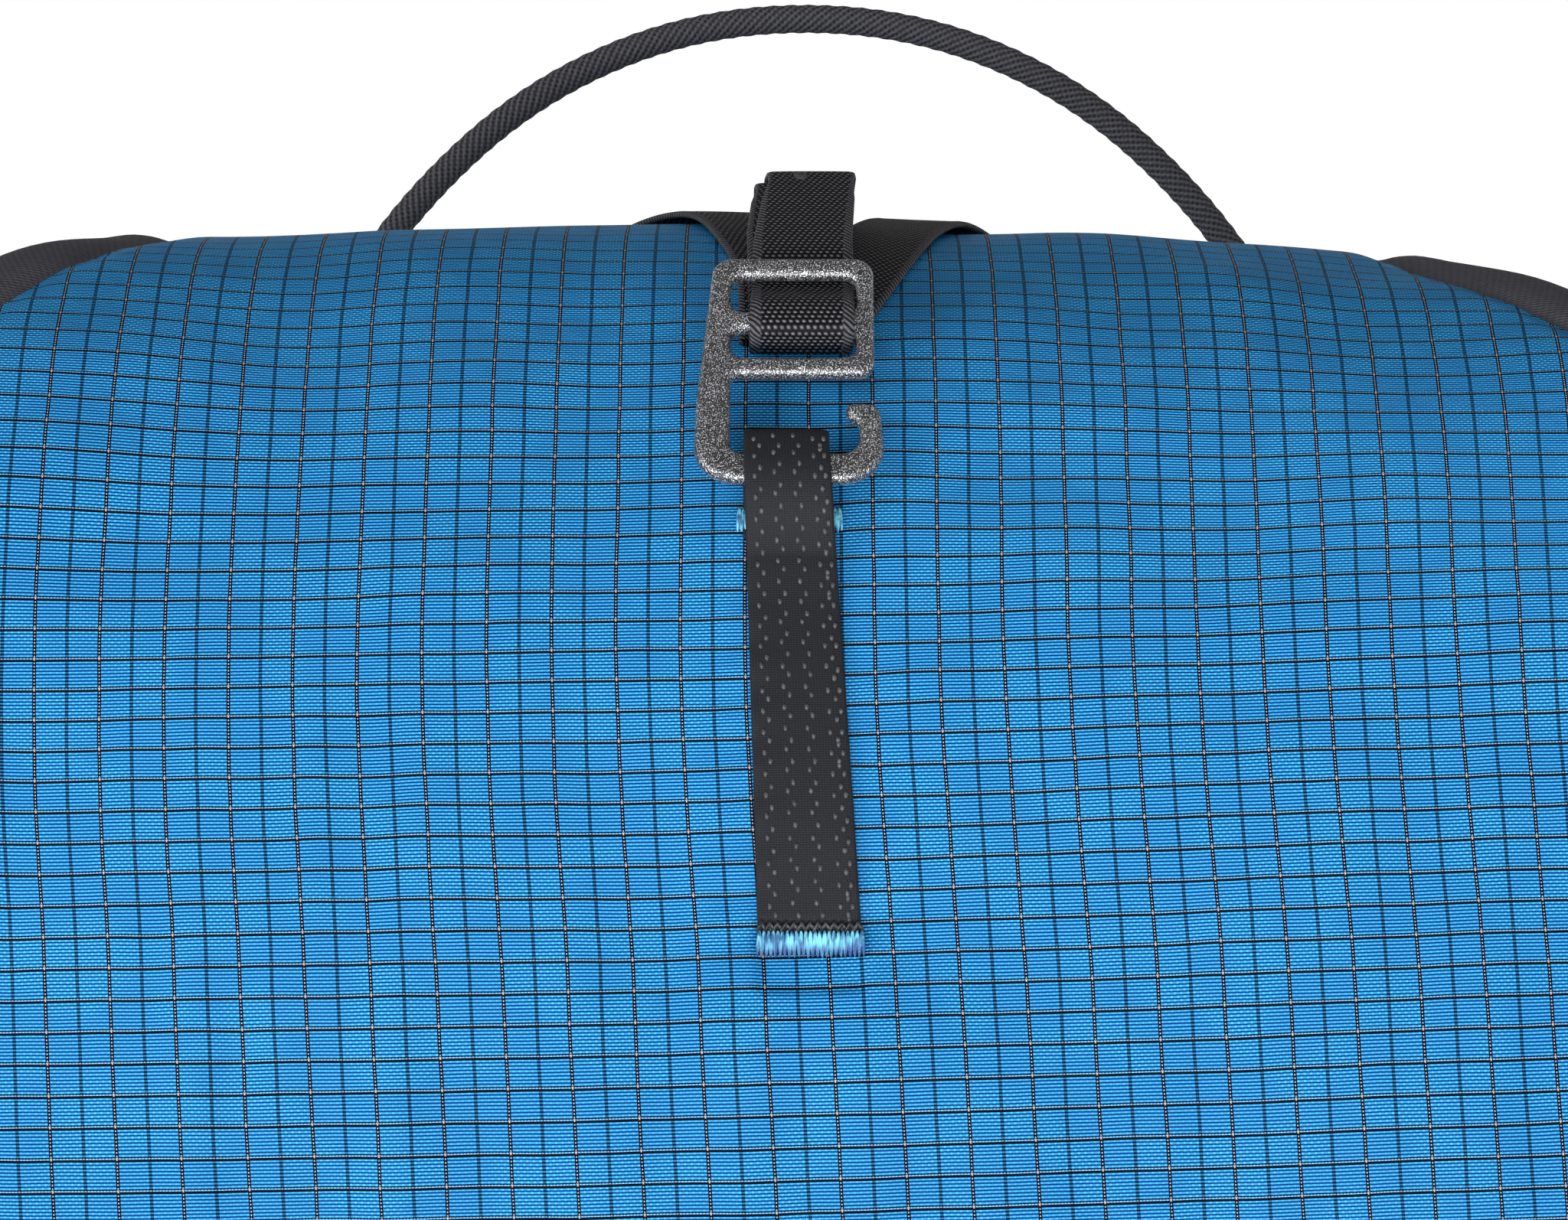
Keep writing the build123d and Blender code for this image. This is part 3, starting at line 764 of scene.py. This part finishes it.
# the knits' pale second colours are painted highlights on black elastic
KNIT = (knitted_elastic("hook_strap_knit", STRAP_WIDTH / 2, (6, 6, 8), (176, 176, 184), 0.95, 1.5),
        "black_elastic")
LEG_KNIT = (knitted_elastic("leg_strap_knit", STRAP_WIDTH / 2, (6, 6, 8), (166, 164, 172), 1.0, 1.5),
            "black_elastic")
GRIP = grip_rubber(), "gripper_tape"
DOTS = silicone(), "gripper_tape"
# the blue thread's pale cyan stands in for highlights, painted over its deep blue
BLUE_THREAD = satin_thread("blue_satin_thread", (0, 58, 134), (136, 232, 255)), "blue_thread"
BLACK_THREAD = satin_thread("black_satin_thread", (12, 12, 14), (64, 64, 70), 0.4), "black_thread"
COAT = speckled_coat()
TWILL = twill_webbing(), "rope_webbing"


# ---- the sack's panels ----
def laid_grid(pattern, points):
    """The ripstop's grid, which leans and fans out a little down the front, as it was sewn."""
    x, drop = points[..., 0], CREST_Z - points[..., 2]
    low = soft_step(drop, 20, 62)
    rise = low * (0.009 * (x + 110) + 0.000077 * (x + 110) ** 2 - 1.9)
    lean = 0.055 * (drop - 60) * soft_step(drop, 40, 110)
    return pattern + stacked(draw_in(x, drop) - lean, -rise)


def arc_length(arcs, height):
    """How far along the side view a height is."""
    run = np.linspace(0, 700, 7001)
    heights = along_arcs(arcs, run)[1]
    return float(run[np.argmax(heights <= height)])


def mouth_run(y):
    """How far behind the crest a level place on the top is, measured along the cloth."""
    return BACK_ARCS[0][2] * math.asin((y - CREST_Y) / BACK_ARCS[0][2])


def back_turn_run(turn):
    """Distance along the back to a place on its second arc, given in degrees of bend."""
    (first_radius, first_turn), (second_radius, _turn) = BACK_BENDS[:2]
    return math.radians(first_turn) * first_radius + math.radians(turn) * second_radius


front_foot = arc_length(FRONT_ARCS, BOTTOM_SEAM)
back_foot = arc_length(BACK_ARCS, BOTTOM_SEAM)
hinge_run = back_turn_run(HINGE_TURN)


def whole_front():
    """The front panel, up the front, over the crest and back to the mouth, with the length of each
    row. Rows and columns lie closer round the lower tack."""
    runs_back = np.linspace(-mouth_run(MOUTH_Y), 0, 6)[:-1]
    level_runs = np.linspace(0, front_foot, 240)
    tack_runs = np.linspace(*(arc_length(FRONT_ARCS, CREST_Z - drop) for drop in (98, 119)), 31)
    level_runs = level_runs[(level_runs < tack_runs[0] - 1) | (level_runs > tack_runs[-1] + 1)]
    runs = np.sort(np.concatenate([runs_back, level_runs, tack_runs]))
    split = len(runs_back)
    reach_back, height_back, slope_back = along_arcs(BACK_ARCS, -runs[:split])
    reach, height, slope = along_arcs(FRONT_ARCS, runs[split:])
    share = 2 * eased(141, 1.35) - 1
    by_tape = np.linspace(-0.105, 0.105, 37)
    share = np.concatenate([share[share < -0.108], by_tape, share[share > 0.108]])
    points, pattern, widths = between_seams(
        runs, np.concatenate([CREST_Y + reach_back, CREST_Y - reach]),
        np.concatenate([height_back, height]), np.concatenate([slope_back, -slope]), share)
    return sewn("front_panel_cloth", points, laid_grid(pattern, points), RIPSTOP), widths, runs


def declare_cloth(piece, node, wide, long, area=None):
    """Hangs a cloth panel on its body; its flat size and area, measured if none is given, are worked
    out but not kept.
    """
    if area is None:
        area = sum(p.area for p in piece.data.polygons) / (MM * MM)
    carry(piece, "sack" if node != "top_flap" else "flap", node)
    wide * MM
    long * MM
    ["bottom_panel"] if node != "bottom_panel" else []


def declare_rows(node, piece, widths, runs):
    """The same for a panel made of level rows."""
    declare_cloth(piece, node, widths.max(), runs[-1] - runs[0], float(np.trapz(widths, runs)))


declare_rows("front_panel", *whole_front())

back_runs = np.linspace(hinge_run + 1.2, back_foot, 150)
declare_rows("back_panel", *panel("back_panel_cloth", back_runs, 97, RIPSTOP), back_runs)

flap_runs = np.linspace(mouth_run(MOUTH_Y + 1.0), hinge_run, 36)
declare_rows("top_flap", *panel("top_flap_cloth", flap_runs, 121, RIPSTOP, 1.0, FLAP_PROUD),
             flap_runs)

for side, side_name in SIDES:
    declare_cloth(gusset(side, side_name), f"{side_name}_gusset", *GUSSET_FLAT)


def bottom_cloth():
    """The bottom panel, out to the seam round its edge."""
    count = 61
    grid = np.stack(np.meshgrid(2 * eased(count, 1.6) - 1, 2 * eased(count, 1.6) - 1), -1)
    ring = np.max(np.abs(grid), -1)
    rim = grid / np.maximum(ring, 1e-9)[..., None]
    centre = np.array([0.0, (side_at(BACK_ARCS, 0)[0] - side_at(FRONT_ARCS, 0)[0]) / 2 + CREST_Y])
    way = np.concatenate([rim * np.array([146.0, 76.0]), 0 * rim[..., :1]], -1)
    way /= np.maximum(np.linalg.norm(way, axis=-1), 1e-9)[..., None]
    start = np.concatenate([centre + 0 * rim, np.full(rim.shape[:2] + (1,), BOTTOM_SEAM)], -1)
    edge = cast(start + way * 260, -way)
    points = start + (edge - start) * ring[..., None]
    points[..., 2] = BOTTOM_SEAM
    up = cast(points[1:-1, 1:-1] - 9.0 * UPWARDS, UPWARDS)
    points[1:-1, 1:-1, 2] = np.clip(up[..., 2], 0, BOTTOM_SEAM)
    return sewn("bottom_panel_cloth", points, points[..., :2], CHARCOAL)


declare_cloth(bottom_cloth(), "bottom_panel", *BOTTOM_FLAT)


# ---- flap hinge, hems and inner bindings ----
def flap_roll():
    """The rolled seam that the flap turns on."""
    turn = np.linspace(0, 2 * math.pi, 17)
    x = (-ROLL_HALF + 2 * ROLL_HALF * np.linspace(0, 1, 60))[:, None]
    out, up = ROLL_RADIUS * np.cos(turn), ROLL_RADIUS * np.sin(turn)
    points = stacked(x, HINGE[0] + out, HINGE[1] + up)
    return lattice("flap_bead_roll", points, stacked(out, x), BINDING, weld=True)


carry(flap_roll(), "flap", "flap_bead")
hem, _widths = panel("back_hem_tape", np.linspace(hinge_run + 2.6, hinge_run + 18, 10), 81,
                     BINDING, 5.0, UNDER_CLOTH)
carry(hem, "sack", "back_hem")


def mouth_strip():
    """The strip under the flap's front edge, half of it reaching under the flap."""
    y = np.linspace(MOUTH_Y - 9, MOUTH_Y + 9, 12)[:, None]
    share = 2 * eased(81, 1.2) - 1
    half = seam_half_width(CREST_Z - (y - CREST_Y) ** 2 / (2 * BACK_BENDS[0][0])) - 5
    x = half * share
    points = cast(stacked(x, y, CREST_Z), -UPWARDS, UNDER_CLOTH)
    return sewn("mouth_placket_tape", points, stacked(x, y), BINDING, wall=0.9)


carry(mouth_strip(), "sack", "mouth_placket")

for side, side_name in SIDES:
    for way, arcs, way_name in ((-1, FRONT_ARCS, "front"), (1, BACK_ARCS, "back")):
        heights = np.concatenate([CREST_Z - NEAR_CREST * np.linspace(0.25, 1, 12) ** 2,
                                  np.linspace(CREST_Z - NEAR_CREST - 3, 16, 120)])
        reach = np.array([side_at(arcs, h)[0] for h in heights])
        seam_line = stacked(side * seam_half_width(heights), CREST_Y + way * reach, heights)
        node = f"{side_name}_{way_name}_binding"
        carry(lying_band(f"{node}_tape", seam_line, 8.0, 0.8, BINDING_DEPTH, BINDING), "sack", node)


# ---- elastic legs and the doubled strap ----
def front_point(drop, out=0.0):
    """(Y, Z) on the front surface this far below the crest, moved out."""
    reach, slope = side_at(FRONT_ARCS, CREST_Z - drop)
    return CREST_Y - reach - out * math.sin(slope), CREST_Z - drop + out * math.cos(slope)


def by_hook(up, out):
    """(Y, Z) of a place given in the hook's plane: up it, and out of its front."""
    return (HOOK_FOOT[0] + up * math.sin(HOOK_LEAN) - out * math.cos(HOOK_LEAN),
            HOOK_FOOT[1] + up * math.cos(HOOK_LEAN) + out * math.sin(HOOK_LEAN))


def leg_off(points):
    """The legs bridge the crest and lie close to the cloth elsewhere."""
    return 0.72 + 0.8 * bump(points[..., 1], CREST_Y, 13)


LEG_LINES = {   # (x, y) along the middle of each leg, from the strap back to its sewn end
    -1: ((-3.2, -38), (-3.5, -24), (-5.0, -16), (-7.2, -8), (-10.2, 4), (-15.0, 14), (-25, 30),
         (-41.2, 52)),
    1: ((-0.5, -38), (2.9, -32), (6.3, -24.5), (10.3, -12.4), (14.4, 4.4), (18.5, 16), (25, 30),
        (36.8, 52))}


def bend_with_hook(elastic, *nodes):
    """Bakes the elastic's placement into its mesh and hides the design's nodes that it stands for."""
    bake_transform(elastic)
    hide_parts(*nodes)


for side, side_name in SIDES:
    plan = rounded([(x, y, CREST_Z + 4.0) for x, y in LEG_LINES[side]])
    plan = cast(plan, -UPWARDS)
    leg = lying_band(f"v_strap_{side_name}_elastic", plan, STRAP_WIDTH, ELASTIC * 0.9,
                     leg_off, LEG_KNIT, edge=1.2, cut=((STRAP_X, 0, 0), (-side, 0, 0)))
    bend_with_hook(leg, f"v_strap_{side_name}")
    way = Vector((*(plan[-1] - plan[-20])[:2], 0)).normalized()
    tack_middle = Vector((*plan[-1][:2], 0)) - way * 5.5
    crosswise = Vector((way.y, -way.x, 0))
    spots = [tack_middle + crosswise * k for k in np.linspace(-6, 6, 25)]
    begins, finishes = (
        laid([Vector(spot + way * along + Vector((0, 0, CREST_Z))) for spot in spots], 0.3 + ELASTIC)
        for along in (-1.8, 1.8))
    carry(stitch_row(f"leg_tack_{side_name}", begins, finishes, (0, 0.5, 0.86), 0.5, BLACK_THREAD),
          "flap", "leg_tacks")

layer_a = -(HOOK_PLATE_HALF + HOOK_GAP + ELASTIC / 2)
layer_b = layer_a - ELASTIC - 0.08
seat = CREST_Z + 0.4 + ELASTIC
fold_y, fold_z = CREST_Y - 21.3, CREST_Z + 5.9
strap_path = [
    (CREST_Y + 6, seat + ELASTIC * 0.5), (CREST_Y - 7, seat + ELASTIC * 0.5),
    (fold_y + 2.2, fold_z - ELASTIC * 0.6), (fold_y - 0.6, fold_z - ELASTIC * 0.7),
    by_hook(44.5, layer_b), by_hook(26.1, layer_b), by_hook(25.9, layer_b + 0.4),
    by_hook(25.9, 1.5), by_hook(26.3, 2.2), by_hook(31.0, 2.2), by_hook(36.0, layer_a),
    by_hook(40.0, layer_a), by_hook(44.2, layer_a),
    (fold_y - 1.6, fold_z + ELASTIC * 0.55), (fold_y + 0.4, fold_z + ELASTIC * 0.85),
    (CREST_Y - 7, seat + ELASTIC * 1.5), (CREST_Y + 6, seat + ELASTIC * 1.5)]
strap, *_line = side_band(
    "hook_strap_elastic", strap_path,
    ((0, 0.18, 0.3, 0.5, 0.66, 0.8, 1), (-1.6, -1.2, -2.2, -1.0, -0.8, 0.5, -0.4)),
    ((0, 0.17, 0.2, 0.23, 0.3, 0.5, 0.62, 0.75, 0.79, 0.83, 1),
     (13.8, 13.8, 12.8, 13.8, 13.8, 15.2, 14.8, 13.8, 12.7, 13.8, 13.8)), ELASTIC * 0.95, KNIT,
    edge=1.12)
bend_with_hook(strap, "hook_strap", "strap_wrap")

spot = (STRAP_X + 1.1, fold_y - 2.9, fold_z + 0.5)
tack_rows = [(spot[0] - 1.1, k) for k in np.linspace(-0.9, 0.9, 5)]
begins = [(x, spot[1] - 0.45 * k, spot[2] - 0.2 - 0.5 * k) for x, k in tack_rows]
finishes = [(x + 2.2, y, z) for x, y, z in begins]
carry(stitch_row("strap_bar_tack", begins, finishes, (0, -0.6, 0.8), 0.45, BLACK_THREAD),
      "flap", "strap_tack")

# ---- cast hook ----
hook_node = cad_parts["g_hook"]
hook_node.data.materials.clear()
hook_node.data.materials.append(COAT)

# ---- gripper tape, its dots and bar tacks ----
TAPE_WIDTHS = ((0, 0.22, 1), (12.2, 12.2, 14.6))
fold_top = HOOK_RIM + HOOK_TIP + TAPE / 2
behind_bar = -(HOOK_PLATE_HALF + HOOK_GAP + TAPE)
lifted = 1.1
tape_path = [front_point(49, lifted), front_point(44.3, lifted), by_hook(0.9, behind_bar),
             by_hook(fold_top - 1.2, behind_bar), by_hook(fold_top, behind_bar + 1.2),
             by_hook(fold_top, -behind_bar - 1.2), by_hook(fold_top - 1.2, -behind_bar),
             by_hook(-0.9, -behind_bar)]
tape_path += [front_point(d, lifted + 1.2 * bump(d, 51, 5)) for d in np.linspace(51, 106.6, 24)]


def tape_slump(points):
    """The flat strip follows the cloth; the loop keeps clear of the hook."""
    share = soft_step(CREST_Z - points[..., 2], 52, 62)[..., None]
    return points * (1 - share) + slump(points) * share


tape_piece, tape_line, tape_up, tape_run = side_band(
    "gripper_tape_band", tape_path, ((0, 0.22, 1), (-3.3, -3.3, 0.1)), TAPE_WIDTHS, TAPE * 0.9, GRIP,
    edge=0.9, shift=tape_slump)
carry(tape_piece, "sack", "gripper_tape", "tape_loop")


def grip_dots():
    """Five zigzag columns of small silicone domes down the outside of the tape."""
    bm = bmesh.new()
    fold_at = int(np.argmax(tape_line[:, 2]))
    pitch, radius = 1.55, 0.36
    length = tape_run[-1] - tape_run[fold_at]
    for column, zig in ((-0.345, 0.4), (-0.12, 0.4), (0.11, 0.38), (0.35, 0.5), (0.41, -0.3)):
        for k in range(int(length / pitch) - 1):
            run = tape_run[fold_at] + 1.6 + k * pitch + 2.2 * abs(column)
            index = int(np.argmin(np.abs(tape_run - run)))
            if index >= len(tape_run) - 3:
                continue
            share = tape_run[index] / tape_run[-1]
            width = float(np.interp(share, *TAPE_WIDTHS))
            sway = zig * (1 if k % 2 else -1) + 0.12 * noise.noise(Vector((k, column * 9, 0)))
            out = -1 if tape_up[index][0] > 0 else 1
            normal = np.array([0, *(tape_up[index] * out)])
            spot = tape_line[index] + normal * 0.43 + np.array([column * width + sway, 0, 0])
            spot = tape_slump(spot[None])[0]
            turn = Vector(normal).to_track_quat("Z", "Y").to_matrix().to_4x4()
            size = Matrix.Diagonal((radius * MM, 1.75 * radius * MM, 0.16 * MM, 1))
            bmesh.ops.create_icosphere(bm, subdivisions=1, radius=1.0,
                                       matrix=Matrix.Translation(Vector(spot) * MM) @ turn @ size)
    return place(baked(bm, "grip_dots"), DOTS)


carry(grip_dots(), "sack")


def tape_tack(name, drop, middle, width, off, nodes, thread, slant=0.12, count=46, long=3.7):
    """Satin stitches across the tape, each a little out of line with the next."""
    begins, finishes = [], []
    for k, x in enumerate(np.linspace(-width / 2, width / 2, count)):
        stray = 0.22 * noise.noise(Vector((k * 0.9, drop, 3)))
        for ends, where, sway in ((begins, drop - long / 2 + stray, -slant),
                                  (finishes, drop + long / 2 - 2 * stray, slant)):
            y, z = front_point(where)
            ends.append((middle + x + sway * (1 if k % 2 else -1), y, z))
    piece = stitch_row(name, laid(begins, off), laid(finishes, off), (0, -0.9, 0.3), 0.52, thread)
    carry(piece, "sack", *nodes)


tape_tack("lower_tape_stitches", 105.2, 0.1, 14.6, 2.15, ["lower_tape_tack"], BLUE_THREAD)
tape_tack("lower_tape_edge", 102.9, 0.0, 14.0, 2.15, [], BLACK_THREAD, slant=0.5, count=26,
          long=1.3)
tape_tack("upper_tape_stitches", 46.2, -2.8, 14.6, 0.9, ["upper_tape_tack"], BLUE_THREAD)
patch_line = [(0.0, *front_point(d)) for d in np.linspace(41, 108, 40)]
carry(lying_band("tape_backing_patch", patch_line, 29.0, 0.8, BINDING_DEPTH, BINDING), "sack",
      "tape_backing")

# ---- haul loop on its two tabs ----
HALF_ROUTE = ((LOOP_HALF_SPAN, 0), (80.5, 22), (66, 46.9), (44, 68.1), (16, 79.8))
flat_route = [(-x, up) for x, up in HALF_ROUTE] + list(HALF_ROUTE[::-1])
loop_route = [Vector((x, LOOP_FOOT[0] + up * math.sin(LOOP_LEAN),
                      LOOP_FOOT[1] + up * math.cos(LOOP_LEAN))) * MM for x, up in flat_route]


def route_line(route):
    """Points read from the rope's smooth line."""
    line = bpy.data.curves.new("haul_loop_line", "CURVE")
    line.dimensions = "3D"
    line.resolution_u = 24
    spline = line.splines.new("NURBS")
    spline.points.add(len(route) - 1)
    for point, place_at in zip(spline.points, route):
        point.co = (*place_at, 1.0)
    spline.order_u = 3
    spline.use_endpoint_u = True
    holder = added("haul_loop_line", line)
    bpy.context.view_layer.update()
    graph = bpy.context.evaluated_depsgraph_get()
    mesh = bpy.data.meshes.new_from_object(holder.evaluated_get(graph))
    points = [tuple(v.co) for v in mesh.vertices]
    bpy.data.objects.remove(holder)
    bpy.data.meshes.remove(mesh)
    return points


rope_points = route_line(loop_route)
rope_path, rope_run = evenly(np.array(rope_points) / MM, 0.8)
rope_side = np.array([0, -math.cos(LOOP_LEAN), math.sin(LOOP_LEAN)])
rope_out = np.cross(rope_side, headings(rope_path))
turn = np.linspace(0, 2 * math.pi, 25)
scallop = 1 + 0.035 * np.cos(2 * math.pi * rope_run[:, None] / 2.9 - turn)
tuck = 1 - 0.35 * (1 - soft_step(rope_run, 0, 6) * soft_step(rope_run[-1] - rope_run, 0, 6))
rope_radius = 2.35 * scallop * tuck[:, None]
rope_grid = (rope_path[:, None]
             + rope_out[:, None] * (rope_radius * np.cos(turn))[..., None]
             + rope_side * (rope_radius * 0.92 * np.sin(turn))[..., None])
haul_loop = lattice("haul_loop_rope", rope_grid, stacked(2.4 * turn, rope_run[:, None]), TWILL,
                    weld=True)
carry(haul_loop, "loop", "haul_loop")

tab_run = back_turn_run(LOOP_TURN)


def on_back(x, runs):
    """Points on the back surface, from their x and their distance behind the crest."""
    reach, height, _slope = along_arcs(BACK_ARCS, runs)
    return stacked(x, CREST_Y + reach, height)


for side, side_name in SIDES:
    foot_x = side * LOOP_HALF_SPAN
    tab_line = on_back(foot_x, tab_run + np.linspace(-2.4, 15.6, 30))
    carry(lying_band(f"loop_tab_{side_name}", tab_line, 9.0, 1.1, 0.6, BINDING), "sack", "loop_tabs")
    begins, finishes = (laid(on_back(foot_x + np.linspace(-3.4, 3.4, 15), [tab_run + at]), 1.2)
                        for at in (7.4, 10.8))
    carry(stitch_row(f"loop_tack_{side_name}", begins, finishes, (0, 0.9, 0.4), 0.5, BLACK_THREAD),
          "sack", "loop_tacks")


# ---- studio ----
def soft_light(name, at, aim, size, power, spread):
    """A rectangular lamp; spread is in degrees."""
    lamp = bpy.data.lights.new(name, "AREA")
    lamp.shape = "RECTANGLE"
    lamp.size, lamp.size_y = size
    lamp.energy = power
    lamp.spread = math.radians(spread)
    holder = added(name, lamp)
    holder.location = at
    holder.rotation_euler = (Vector(aim) - Vector(at)).to_track_quat("-Z", "Y").to_euler()


def studio():
    """A pale floor, a sky that is brightest near the horizon, and two lamps."""
    bm = bmesh.new()
    bmesh.ops.create_grid(bm, x_segments=1, y_segments=1, size=4.0)
    floor = added("floor", baked(bm, "floor"))
    pale = bpy.data.materials.new("pale_floor")
    pale.use_nodes = True
    shader = pale.node_tree.nodes["Principled BSDF"]
    shader.inputs["Base Color"].default_value = (0.85, 0.85, 0.86, 1)
    shader.inputs["Roughness"].default_value = 0.8
    floor.data.materials.append(pale)
    world = bpy.data.worlds.new("studio")
    world.use_nodes = True
    tree = world.node_tree
    around = tree.nodes.new("ShaderNodeTexCoord")
    split = tree.nodes.new("ShaderNodeSeparateXYZ")
    tree.links.new(around.outputs["Generated"], split.inputs[0])
    fade = tree.nodes.new("ShaderNodeMapRange")
    tree.links.new(split.outputs["Z"], fade.inputs["Value"])
    for key, value in (("From Min", 0.14), ("From Max", 0.5), ("To Min", 1.0), ("To Max", 0.26)):
        fade.inputs[key].default_value = value
    tree.links.new(fade.outputs[0], tree.nodes["Background"].inputs["Strength"])
    tree.nodes["Background"].inputs["Color"].default_value = (1, 1, 1, 1)
    bpy.context.scene.world = world
    bpy.context.scene.view_settings.view_transform = "Standard"
    soft_light("low_front", (0.0, -0.68, 0.08), (0, -0.04, 0.42), (0.9, 0.25), 1.45, 60)
    soft_light("left", (-1.4, -1.0, 0.55), (0, 0, 0.35), (0.5, 0.9), 2.6, 80)


def camera():
    """A level view of the upper front."""
    lens = bpy.data.cameras.new("camera")
    lens.lens = 137.57
    lens.sensor_width = 36.0
    holder = added("camera", lens)
    holder.location = (-0.0036, -0.910, 0.39135)
    holder.rotation_euler = (math.radians(90), 0, 0)
    bpy.context.scene.camera = holder


studio()
camera()
